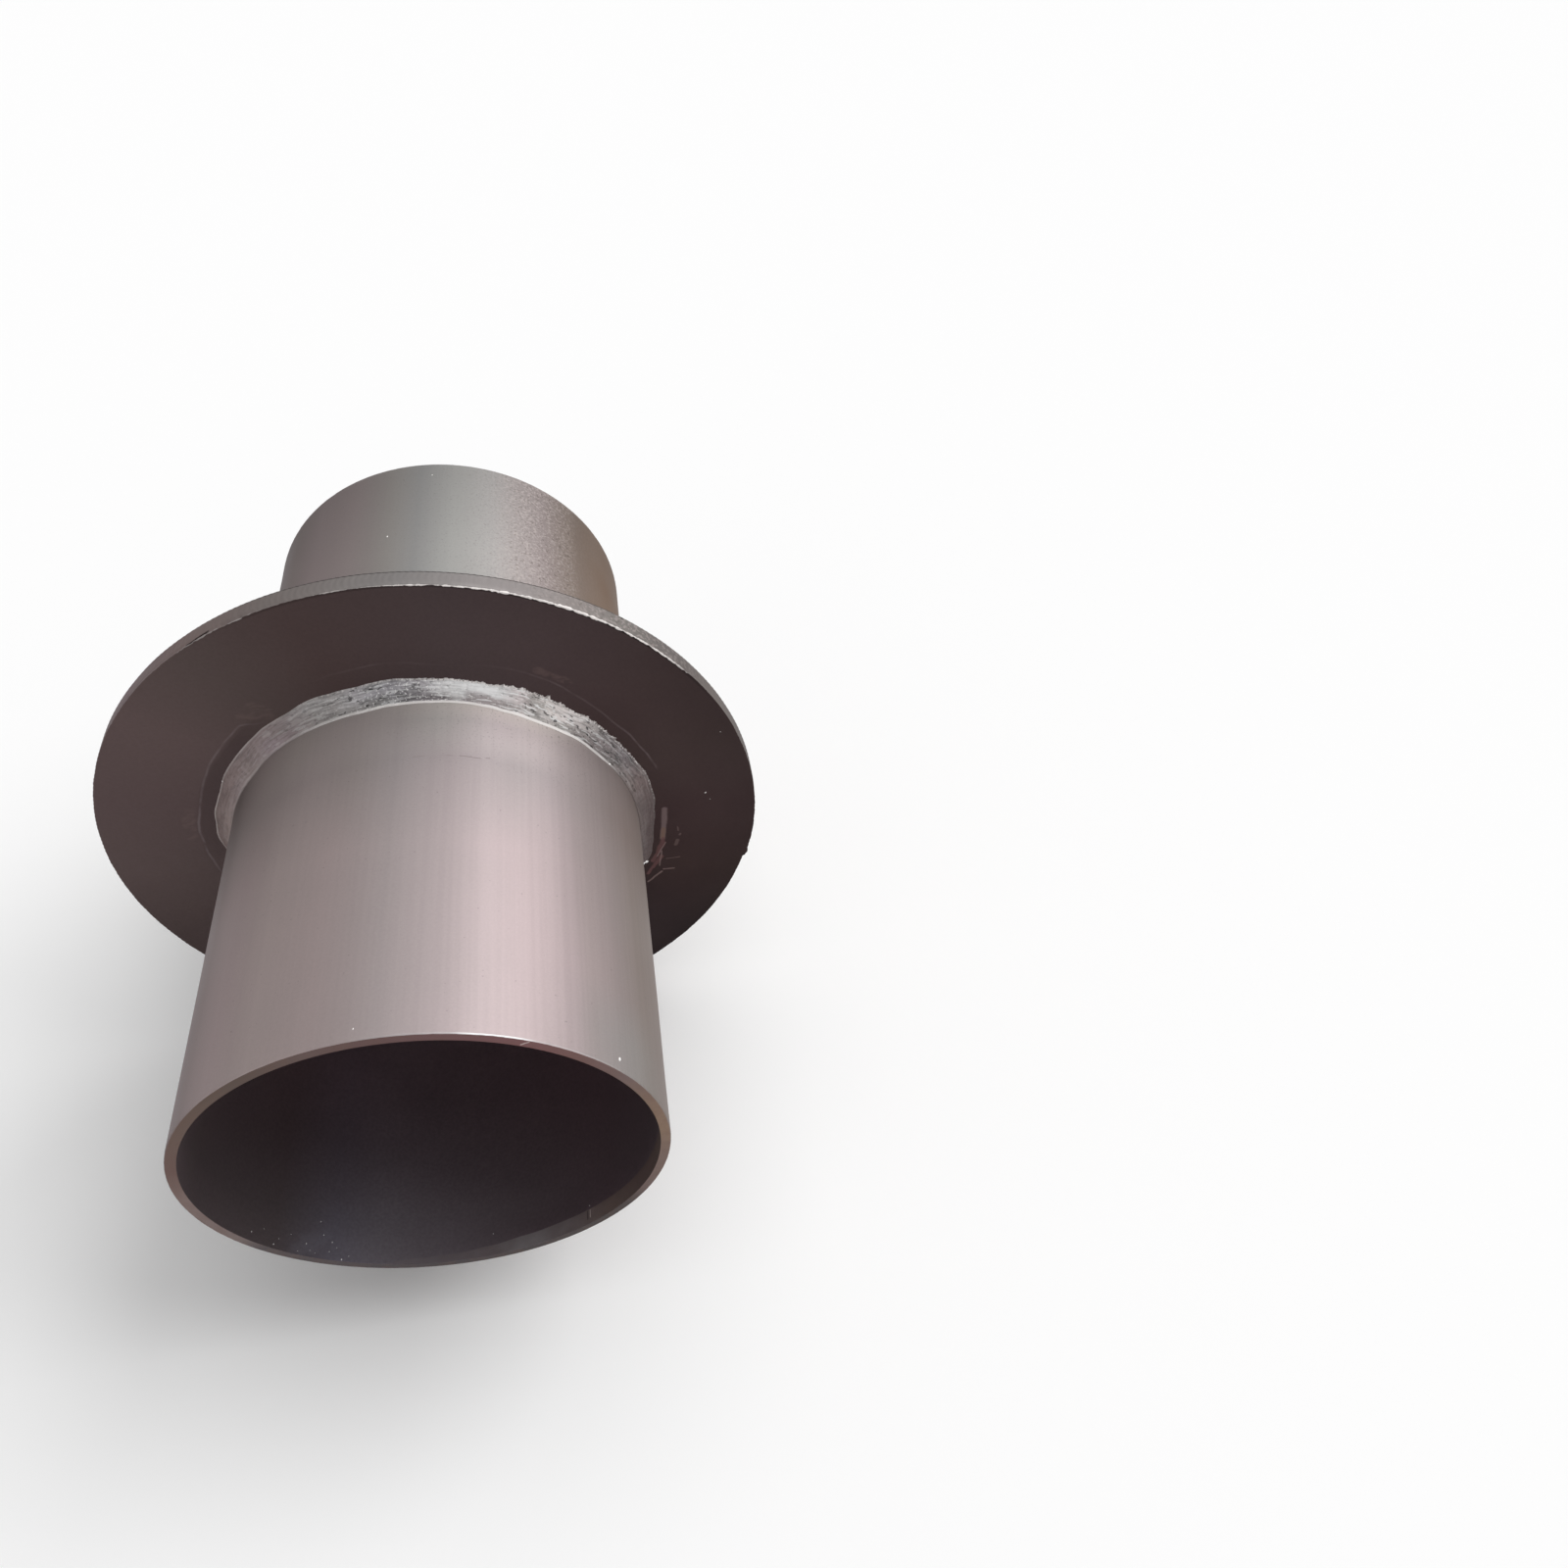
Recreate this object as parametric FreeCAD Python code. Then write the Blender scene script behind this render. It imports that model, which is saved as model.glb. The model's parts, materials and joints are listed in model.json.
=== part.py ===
"""Rigid waterproof wall sleeve: a short steel tube with a water-stop ring welded round its middle.

The tube is cast through a concrete wall with its axis level. The ring stands in the middle of the
wall, where it blocks water that creeps along the outside of the tube. A service pipe then runs
through the bore.

Frame: +Y runs along the bore, from the mouth at the front to the rear end, and +Z is up. The origin
is on the tube's axis, halfway through the ring. Angles about the axis are in degrees from +X towards
+Z. Lengths are in millimetres.
"""

import FreeCAD, Part
import os
from math import cos, pi, radians, sin

Vector = FreeCAD.Vector

# Tube
tube_outer_diameter = 180.0
tube_wall = 4.0
tube_length = 335.0
tube_edge_break = 0.4

# Taper left by deburring the mouth off centre, which runs out to nothing half way round
mouth_taper_depth = 5.6
mouth_taper_offset = 0.5
mouth_taper_angle = -25.0

# Water-stop ring, flame cut from plate
ring_outer_diameter = 291.0
ring_clearance = 0.5
ring_thickness = 9.0
ring_rear_edge_radius = 0.8

# Step where the flame cut started and didn't quite meet itself again
cut_start_angle = -16.0
cut_start_step = 1.0
cut_start_sweep = 54.0

# Front fillet weld, uneven as laid by hand: (angle, leg on the ring, leg on the tube)
front_weld_stations = (
    (0.0, 7.4, 6.2),
    (13.0, 8.7, 6.0),
    (28.0, 9.4, 6.4),
    (46.0, 9.7, 9.0),
    (62.0, 9.4, 7.6),
    (77.0, 8.4, 5.2),
    (90.0, 9.6, 5.8),
    (98.0, 10.5, 7.7),
    (113.0, 10.5, 7.1),
    (127.0, 11.0, 8.1),
    (142.0, 11.3, 8.4),
    (157.0, 8.7, 7.4),
    (174.0, 6.6, 6.2),
    (200.0, 8.8, 7.2),
    (228.0, 9.6, 8.0),
    (252.0, 8.2, 6.4),
    (280.0, 9.9, 7.7),
    (306.0, 8.8, 6.8),
    (336.0, 8.4, 7.0),
)
weld_curve_points = 48
weld_curve_arcs = 8
weld_toe_height = 0.7
weld_toe_width = 1.2
weld_root_depth = 1.5

# The rear fillet is laid the same way, with its uneven places elsewhere
rear_weld_turn = 150.0

# Cutters run this far past the faces that they cut
overrun = 2.0

tube_radius = tube_outer_diameter / 2
bore_radius = tube_radius - tube_wall
ring_radius = ring_outer_diameter / 2
ring_bore_radius = tube_radius + ring_clearance
half_length = tube_length / 2
half_ring = ring_thickness / 2
AXIS = Vector(0, 1, 0)
ORIGIN = Vector(0, 0, 0)


def at(angle, radius, y=0.0):
    """The point at an angle about the axis, a radius from it, and a place along it."""
    return Vector(radius * cos(radians(angle)), y, radius * sin(radians(angle)))


def loop_of(points):
    """Straight edges through (radius, y) points and back to the first."""
    corners = [Vector(radius, y, 0) for radius, y in points]
    return [Part.LineSegment(a, b).toShape() for a, b in zip(corners, corners[1:] + corners[:1])]


def turned(edges, first_angle=0.0, sweep=360.0):
    """The solid that a closed outline of (radius, y) edges sweeps about the axis."""
    solid = Part.Face(Part.Wire(edges)).revolve(ORIGIN, AXIS, -sweep)
    solid.rotate(ORIGIN, AXIS, -first_angle)
    return solid


def mouth_taper():
    """A cone that meets the bore at the mouth, set off centre so that it cuts on one side only."""
    slope = mouth_taper_offset / mouth_taper_depth
    inner_reach = mouth_taper_depth + overrun
    return Part.makeCone(
        bore_radius + overrun * slope,
        bore_radius - inner_reach * slope,
        overrun + inner_reach,
        at(mouth_taper_angle, mouth_taper_offset, -half_length - overrun),
        AXIS,
    )


def sleeve_tube():
    """The pipe: square-cut ends with their edges broken, and the off-centre taper inside the mouth."""
    edge = tube_edge_break
    section = (
        (bore_radius, -half_length),
        (tube_radius - edge, -half_length),
        (tube_radius, -half_length + edge),
        (tube_radius, half_length - edge),
        (tube_radius - edge, half_length),
        (bore_radius + edge, half_length),
        (bore_radius, half_length - edge),
    )
    return turned(loop_of(section)).cut(mouth_taper())


def cut_start():
    """What the flame took off past its start: deepest at the step, and nothing where the sweep ends."""
    reach = half_ring + overrun
    band = (
        (ring_bore_radius + overrun, -reach),
        (ring_radius + overrun, -reach),
        (ring_radius + overrun, reach),
        (ring_bore_radius + overrun, reach),
    )
    sector = turned(loop_of(band), cut_start_angle - cut_start_sweep, cut_start_sweep)
    drift = cut_start_step / sin(radians(cut_start_sweep))
    kept = Part.makeCylinder(
        ring_radius - cut_start_step,
        2 * reach,
        at(cut_start_angle - 90, drift, -reach),
        AXIS,
    )
    return sector.cut(kept)


def stop_ring():
    """The plate ring: a sharp front edge, a rear edge that the flame rounded, and the step in its rim."""
    round_over = ring_rear_edge_radius
    centre = Vector(ring_radius - round_over, half_ring - round_over, 0)
    arc_start = centre + Vector(round_over, 0, 0)
    arc_middle = centre + Vector(round_over * cos(radians(45)), round_over * sin(radians(45)), 0)
    arc_end = centre + Vector(0, round_over, 0)
    corners = (
        arc_end,
        Vector(ring_bore_radius, half_ring, 0),
        Vector(ring_bore_radius, -half_ring, 0),
        Vector(ring_radius, -half_ring, 0),
        arc_start,
    )
    edges = [Part.LineSegment(a, b).toShape() for a, b in zip(corners, corners[1:])]
    edges.append(Part.Arc(arc_start, arc_middle, arc_end).toShape())
    return turned(edges).cut(cut_start())


def weld_legs(angle):
    """The front fillet's legs on the ring and on the tube, eased from each station to the next."""
    stations = front_weld_stations
    after = stations[1:] + ((stations[0][0] + 360, *stations[0][1:]),)
    for (start, *legs), (end, *next_legs) in zip(stations, after):
        if start <= angle <= end:
            share = (1 - cos(pi * (angle - start) / (end - start))) / 2
            return [leg + share * (next_leg - leg) for leg, next_leg in zip(legs, next_legs)]


def weld_section(angle):
    """The fillet's section as (radius, y), with its toe on the tube carried on to a root inside the wall."""
    leg_on_ring, leg_on_tube = weld_legs(angle)
    toe = -half_ring - leg_on_tube
    root = tube_radius - weld_root_depth
    return (
        (tube_radius + leg_on_ring, -half_ring),
        (tube_radius + weld_toe_height, toe + weld_toe_width),
        (root, toe - weld_toe_width * weld_root_depth / weld_toe_height),
        (root, -half_ring),
    )


def closed_curve(points):
    """A smooth closed curve through points that are spaced evenly about the axis, as equal arcs."""
    curve = Part.BSplineCurve()
    knots = [index / len(points) for index in range(len(points) + 1)]
    curve.interpolate(Points=points, PeriodicFlag=True, Parameters=knots)
    arcs = weld_curve_arcs
    return [curve.toShape(index / arcs, (index + 1) / arcs) for index in range(arcs)]


def front_weld_bead():
    """The fillet between the ring's front and the tube, with toes that wander on both."""
    angles = [360 * index / weld_curve_points for index in range(weld_curve_points)]
    sections = [weld_section(angle) for angle in angles]
    rails = []
    for corner in range(len(sections[0])):
        rails.append(closed_curve([at(angle, *section[corner]) for angle, section in zip(angles, sections)]))
    faces = []
    for rail, next_rail in zip(rails, rails[1:] + rails[:1]):
        faces += [Part.makeRuledSurface(arc, next_arc) for arc, next_arc in zip(rail, next_rail)]
    shell = Part.makeShell(faces)
    shell.sewShape()
    bead = Part.makeSolid(shell)
    tube_side = Part.makeCylinder(tube_radius, tube_length, Vector(0, -half_length, 0), AXIS)
    return bead.cut(tube_side)


def rear_weld_bead():
    """The fillet behind the ring."""
    bead = front_weld_bead().mirror(ORIGIN, AXIS)
    bead.rotate(ORIGIN, AXIS, rear_weld_turn)
    return bead


def main():
    os.makedirs("parts", exist_ok=True)
    for build in (sleeve_tube, stop_ring, front_weld_bead, rear_weld_bead):
        shape = build()
        name = build.__name__
        solids, faces = len(shape.Solids), len(shape.Faces)
        print(f"{name}: {solids} solid, {faces} faces, {shape.Volume:.0f} mm3, valid {shape.isValid()}")
        shape.exportStep(f"parts/{name}.step")


main()
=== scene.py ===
import json
import math

import bmesh
import bpy
from mathutils import Matrix, Vector, noise


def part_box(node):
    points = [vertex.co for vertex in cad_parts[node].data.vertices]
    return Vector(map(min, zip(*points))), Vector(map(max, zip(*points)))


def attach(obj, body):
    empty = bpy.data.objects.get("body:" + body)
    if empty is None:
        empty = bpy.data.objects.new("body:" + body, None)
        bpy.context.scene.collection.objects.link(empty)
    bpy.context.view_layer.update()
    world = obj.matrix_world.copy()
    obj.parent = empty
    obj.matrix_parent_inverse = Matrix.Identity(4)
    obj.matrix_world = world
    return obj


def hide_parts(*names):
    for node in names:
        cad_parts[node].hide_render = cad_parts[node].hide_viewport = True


# Waterproof wall sleeve: a steel pipe with a flat ring welded round its middle.
# The bore runs along +Y and +Z is up. Lengths are in mm until a point is placed, and angles are in
# degrees about the bore, from +X towards +Z.

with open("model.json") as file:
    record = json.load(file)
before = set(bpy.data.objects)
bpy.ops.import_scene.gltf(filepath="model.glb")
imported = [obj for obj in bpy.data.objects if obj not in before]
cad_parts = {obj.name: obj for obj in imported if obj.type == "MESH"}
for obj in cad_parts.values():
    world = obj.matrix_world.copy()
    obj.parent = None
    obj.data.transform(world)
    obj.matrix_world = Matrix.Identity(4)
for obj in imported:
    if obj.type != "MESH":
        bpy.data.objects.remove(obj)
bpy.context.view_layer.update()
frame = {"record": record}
mm = 0.001

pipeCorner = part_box("sleeve_tube")[1] / mm
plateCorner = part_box("stop_ring")[1] / mm
pipeRadius, pipeEnd = pipeCorner.x, pipeCorner.y
plateRadius, plateFace = plateCorner.x, plateCorner.y
boreMount = next(mount for mount in frame["record"]["mounts"] if mount["name"] == "bore")
boreRadius = boreMount["dims"]["r_mm"]
bpy.context.scene.view_settings.view_transform = "Standard"
print(f"frame: pipe {2 * pipeRadius:.0f} x {2 * pipeEnd:.0f} mm, ring {2 * plateRadius:.0f} mm")


# Camera, at the place and angle the photograph was taken from

cameraSetup = {
    "eye": (97.6, -392.8, 434.5),
    "look": (0.1073, 0.6858, -0.7198),
    "focalPixels": 1250.7,
    "imagePixels": 1600,
    "opticalCentre": (798, 773),
}


def makeCamera(setup):
    data = bpy.data.cameras.new("camera")
    camera = bpy.data.objects.new("camera", data)
    bpy.context.scene.collection.objects.link(camera)
    camera.location = Vector(setup["eye"]) * mm
    camera.rotation_euler = Vector(setup["look"]).to_track_quat("-Z", "Y").to_euler()
    data.lens = data.sensor_width * setup["focalPixels"] / setup["imagePixels"]
    half = setup["imagePixels"] / 2
    data.shift_x = (half - setup["opticalCentre"][0]) / setup["imagePixels"]
    data.shift_y = (setup["opticalCentre"][1] - half) / setup["imagePixels"]
    data.clip_start = 0.01
    bpy.context.scene.camera = camera
    print(f"camera: {data.lens:.1f} mm lens")


# Nodes

def linear(hexColour):  # sRGB hex to the linear colour that sockets take
    parts = [int(hexColour[i:i + 2], 16) / 255 for i in (0, 2, 4)]
    return [p / 12.92 if p <= 0.04045 else ((p + 0.055) / 1.055) ** 2.4 for p in parts] + [1.0]


def perMetre(size):  # scale that gives a texture features of this many mm
    return 1 / (size * mm)


def setInputs(tree, node, inputs):  # a socket is linked, and anything else is set as a value
    for name, value in inputs.items():
        if isinstance(value, bpy.types.NodeSocket):
            tree.links.new(value, node.inputs[name])
        else:
            node.inputs[name].default_value = value


def addNode(tree, kind, inputs=None, stops=None, **settings):  # one node with its settings and links
    node = tree.nodes.new("ShaderNode" + kind)
    for name, value in settings.items():
        setattr(node, name, value)
    setInputs(tree, node, inputs or {})
    if stops:
        ramp = node.color_ramp
        while len(ramp.elements) < len(stops):
            ramp.elements.new(0.5)
        for element, (place, colour) in zip(ramp.elements, stops):
            element.position = place
            element.color = colour if isinstance(colour, list) else [colour, colour, colour, 1]
    return node


def newMaterial(name):  # an empty material with its shader and output joined
    material = bpy.data.materials.new(name)
    material.use_nodes = True
    tree = material.node_tree
    tree.nodes.clear()
    shader = addNode(tree, "BsdfPrincipled")
    addNode(tree, "OutputMaterial", {"Surface": shader.outputs[0]})
    return material, tree, shader


# Stage: white floor and grey sky, a soft lamp above to the right and a wider one overhead

stageSetup = {
    "floorSize": 14.0,  # metres, as are the next two
    "floorWhiteTo": 2.8,
    "floorFadedFrom": 6.0,
    "floorNear": "fafafa",
    "floorFar": "9c9c9c",
    "sky": "ffffff",
    "skyLight": 0.31,
}
lamps = {  # name, the direction that it shines from, strength, angle of its disc
    "keyLamp": ((0.68, 0.08, 0.73), 1.75, 44),
    "topLamp": ((0.10, 0.10, 1.0), 1.0, 60),
}


def makeStage(setup):
    world = bpy.data.worlds.new("studio")
    bpy.context.scene.world = world
    world.use_nodes = True
    sky = world.node_tree
    sky.nodes.clear()
    light = {"Color": linear(setup["sky"]), "Strength": setup["skyLight"]}
    background = addNode(sky, "Background", light)
    addNode(sky, "OutputWorld", {"Surface": background.outputs[0]})

    mesh = bmesh.new()
    bmesh.ops.create_grid(mesh, x_segments=1, y_segments=1, size=setup["floorSize"] / 2)
    bmesh.ops.translate(mesh, vec=(0, 0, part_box("stop_ring")[0].z), verts=mesh.verts)
    floor = finishPiece(mesh, "floor", [floorPaint(setup)], None)

    for name, (source, strength, angle) in lamps.items():
        lamp = bpy.data.lights.new(name, "SUN")
        lamp.energy = strength
        lamp.angle = math.radians(angle)
        holder = bpy.data.objects.new(name, lamp)
        holder.rotation_euler = (-Vector(source)).to_track_quat("-Z", "Y").to_euler()
        bpy.context.scene.collection.objects.link(holder)
    print(f"stage: floor, sky and {len(lamps)} lamps")


def floorPaint(setup):  # flat white paint, fading far out to about the sky's grey, for a soft horizon
    material, tree, shader = newMaterial("paintedBoardFloor")
    place = addNode(tree, "TexCoord").outputs["Object"]
    away = addNode(tree, "VectorMath", {0: place}, operation="LENGTH")
    share = addNode(tree, "MapRange", {
        "Value": away.outputs["Value"],
        "From Min": setup["floorWhiteTo"],
        "From Max": setup["floorFadedFrom"],
    }, interpolation_type="SMOOTHSTEP")
    colour = addNode(tree, "MixRGB", {
        "Fac": share.outputs[0],
        "Color1": linear(setup["floorNear"]),
        "Color2": linear(setup["floorFar"]),
    })
    setInputs(tree, shader, {
        "Base Color": colour.outputs[0],
        "Roughness": 0.9,
        "Specular IOR Level": 0.0,
    })
    return material


# Mesh helpers

def angleOf(point):
    return math.degrees(math.atan2(point.z, point.x)) % 360


def polar(angle, radius, y):
    return Vector((radius * math.cos(math.radians(angle)), y, radius * math.sin(math.radians(angle))))


def bump(angle, centre, width):  # 1 at the centre, easing to 0 at the width either side
    away = abs((angle - centre + 180) % 360 - 180) / width
    return (1 + math.cos(math.pi * away)) / 2 if away < 1 else 0


def ease(value, low, high):  # 0 below low, 1 above high
    share = min(max((value - low) / (high - low), 0), 1)
    return share * share * (3 - 2 * share)


def grain(along, across, long, wide, seed):  # smooth random -1 to 1, with features this long and wide
    return noise.noise(Vector((along / long + seed * 7.3, across / wide - seed * 3.1, seed * 1.7)))


def atStation(stations, angle):  # values eased from each station's angle to the next one's
    for (start, *values), (end, *nextValues) in zip(stations, stations[1:]):
        if start <= angle <= end:
            share = (1 - math.cos(math.pi * (angle - start) / (end - start))) / 2
            return [value + share * (nextValue - value) for value, nextValue in zip(values, nextValues)]


def spinSection(section, steps):  # a closed (radius, y) outline turned about the bore
    mesh = bmesh.new()
    corners = [mesh.verts.new((radius * mm, y * mm, 0)) for radius, y in section]
    edges = [mesh.edges.new(pair) for pair in zip(corners, corners[1:] + corners[:1])]
    share, steps = math.tau / 16, steps // 16  # a sixteenth is doubled four times, which is far quicker
    bmesh.ops.spin(mesh, geom=corners + edges, cent=(0, 0, 0), axis=(0, 1, 0), angle=share, steps=steps)
    for _ in range(4):
        copy = bmesh.ops.duplicate(mesh, geom=mesh.verts[:] + mesh.edges[:] + mesh.faces[:])["geom"]
        verts = [item for item in copy if isinstance(item, bmesh.types.BMVert)]
        bmesh.ops.rotate(mesh, cent=(0, 0, 0), matrix=Matrix.Rotation(share, 3, "Y"), verts=verts)
        share *= 2
    bmesh.ops.remove_doubles(mesh, verts=mesh.verts, dist=0.001 * mm)
    bmesh.ops.recalc_face_normals(mesh, faces=mesh.faces)
    return mesh


def addDrop(mesh, place, outward, lengthways, size, materialIndex):  # a grain or sliver on a surface
    side = outward.cross(lengthways).normalized()
    ahead = side.cross(outward).normalized()
    turn = Matrix((ahead, side, outward.normalized())).transposed()
    made = bmesh.ops.create_icosphere(mesh, subdivisions=2, radius=0.5)["verts"]
    for vertex in made:
        local = Vector([part * length for part, length in zip(vertex.co, size)])
        vertex.co = (place + turn @ local) * mm
    for face in {face for vertex in made for face in vertex.link_faces}:
        face.material_index = materialIndex


def finishPiece(mesh, name, materials, slot, *nodes):  # the bmesh becomes an object of the frame
    data = bpy.data.meshes.new(name)
    for face in mesh.faces:
        face.smooth = True
    mesh.to_mesh(data)
    mesh.free()
    data.set_sharp_from_angle(angle=math.radians(38))
    for material in materials:
        data.materials.append(material)
    piece = bpy.data.objects.new(name, data)
    bpy.context.scene.collection.objects.link(piece)
    if slot:
        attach(piece, "root")
        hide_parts(*nodes)
        print(f"{name}: {len(data.polygons)} faces")
    return piece


# Shared patterns

def turnPlace(angle):  # where an angle falls on the 0 to 1 that placesRound gives
    return 0.5 + (90 - angle) / 360


def placesRound(tree):  # place, turn about the bore (seam at the bottom), how far along, how far out
    place = addNode(tree, "TexCoord").outputs["Object"]
    axes = addNode(tree, "SeparateXYZ", {"Vector": place})
    around = addNode(tree, "Math", {0: axes.outputs["X"], 1: axes.outputs["Z"]}, operation="ARCTAN2")
    turn = addNode(tree, "MapRange", {
        "Value": around.outputs[0],
        "From Min": -math.pi,
        "From Max": math.pi,
    })
    flat = addNode(tree, "CombineXYZ", {"X": axes.outputs["X"], "Y": axes.outputs["Z"]})
    away = addNode(tree, "VectorMath", {0: flat.outputs[0]}, operation="LENGTH")
    return place, turn.outputs[0], axes.outputs["Y"], away.outputs["Value"]


def byTurn(tree, turn, stops):  # colours or values by the angle about the bore, which meet at the bottom
    ordered = [(turnPlace(angle), linear(stops[angle]) if isinstance(stops[angle], str) else stops[angle])
               for angle in sorted(stops, reverse=True)]
    (low, first), (high, last) = ordered[0], ordered[-1]
    share = (1 - high) / (1 - high + low)
    if isinstance(first, list):
        seam = [a + share * (b - a) for a, b in zip(last, first)]
    else:
        seam = last + share * (first - last)
    return addNode(tree, "ValToRGB", {"Fac": turn}, stops=[(0, seam)] + ordered + [(1, seam)]).outputs[0]


def patches(tree, place, size, low, high, detail=2.0, stretch=None):  # soft random patches, as 0 to 1
    if stretch:
        place = addNode(tree, "VectorMath", {0: place, 1: stretch}, operation="MULTIPLY").outputs[0]
    noisy = addNode(tree, "TexNoise", {"Vector": place, "Scale": perMetre(size), "Detail": detail})
    share = addNode(tree, "MapRange", {"Value": noisy.outputs["Fac"], "From Min": low, "From Max": high})
    return share.outputs[0]


def lineRound(tree, turn, level, path, width):  # line through (angle, level in mm, strength), as 0 to 1
    levels = [level for _, level, _ in path]
    low, high = min(levels) - 1, max(levels) + 1
    shares = {angle: (where - low) / (high - low) for angle, where, _ in path}
    centre = addNode(tree, "MapRange", {
        "Value": byTurn(tree, turn, shares),
        "To Min": low * mm,
        "To Max": high * mm,
    })
    offset = addNode(tree, "Math", {0: level, 1: centre.outputs[0]}, operation="SUBTRACT")
    away = addNode(tree, "Math", {0: offset.outputs[0]}, operation="ABSOLUTE")
    line = addNode(tree, "MapRange", {
        "Value": away.outputs[0],
        "From Min": width * mm,
        "From Max": 0.2 * width * mm,
    }, interpolation_type="SMOOTHSTEP")
    strength = byTurn(tree, turn, {angle: strong for angle, _, strong in path})
    return addNode(tree, "Math", {0: line.outputs[0], 1: strength}, operation="MULTIPLY").outputs[0]


def shaken(tree, place, size, reach):  # the place, moved at random by up to about this many mm
    pattern = addNode(tree, "TexNoise", {"Vector": place, "Scale": perMetre(size), "Detail": 2.0})
    middle = (0.5, 0.5, 0.5)
    centred = addNode(tree, "VectorMath", {0: pattern.outputs["Color"], 1: middle}, operation="SUBTRACT")
    far = 4 * reach * mm  # the noise mostly stays in the middle half of its range
    moved = addNode(tree, "VectorMath", {0: centred.outputs[0], "Scale": far}, operation="SCALE")
    return addNode(tree, "VectorMath", {0: place, 1: moved.outputs[0]}, operation="ADD").outputs[0]


def scratches(tree, place, marks):  # straight marks: (angle, radius, y) at both ends, half the width
    total = 0.0
    for start, end, halfWidth in marks:
        first, step = polar(*start) * mm, (polar(*end) - polar(*start)) * mm
        offset = addNode(tree, "VectorMath", {0: place, 1: first}, operation="SUBTRACT").outputs[0]
        reach = addNode(tree, "VectorMath", {0: offset, 1: step}, operation="DOT_PRODUCT")
        division = {0: reach.outputs["Value"], 1: step.length_squared}
        share = addNode(tree, "Math", division, operation="DIVIDE", use_clamp=True)
        nearest = addNode(tree, "VectorMath", {0: step, "Scale": share.outputs[0]}, operation="SCALE")
        away = addNode(tree, "VectorMath", {0: offset, 1: nearest.outputs[0]}, operation="DISTANCE")
        mark = addNode(tree, "MapRange", {
            "Value": away.outputs["Value"],
            "From Min": halfWidth * mm,
            "From Max": 0.4 * halfWidth * mm,
        }, interpolation_type="SMOOTHSTEP")
        total = addNode(tree, "Math", {0: mark.outputs[0], 1: total}, operation="MAXIMUM").outputs[0]
    return total


def inBand(tree, level, start, end, strength=1.0):  # 0 at the start, rising to the strength at the end
    share = addNode(tree, "MapRange", {"Value": level, "From Min": start, "From Max": end})
    return addNode(tree, "Math", {0: share.outputs[0], 1: strength}, operation="MULTIPLY").outputs[0]


def layOver(tree, colour, over, strength, *shares, blend="MIX"):  # as strong as all its shares allow
    for share in shares:
        strength = addNode(tree, "Math", {0: strength, 1: share}, operation="MULTIPLY").outputs[0]
    over = linear(over) if isinstance(over, str) else over
    mixed = addNode(tree, "MixRGB", {"Fac": strength, "Color1": colour, "Color2": over}, blend_type=blend)
    return mixed.outputs[0]


# Pipe materials

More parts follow.
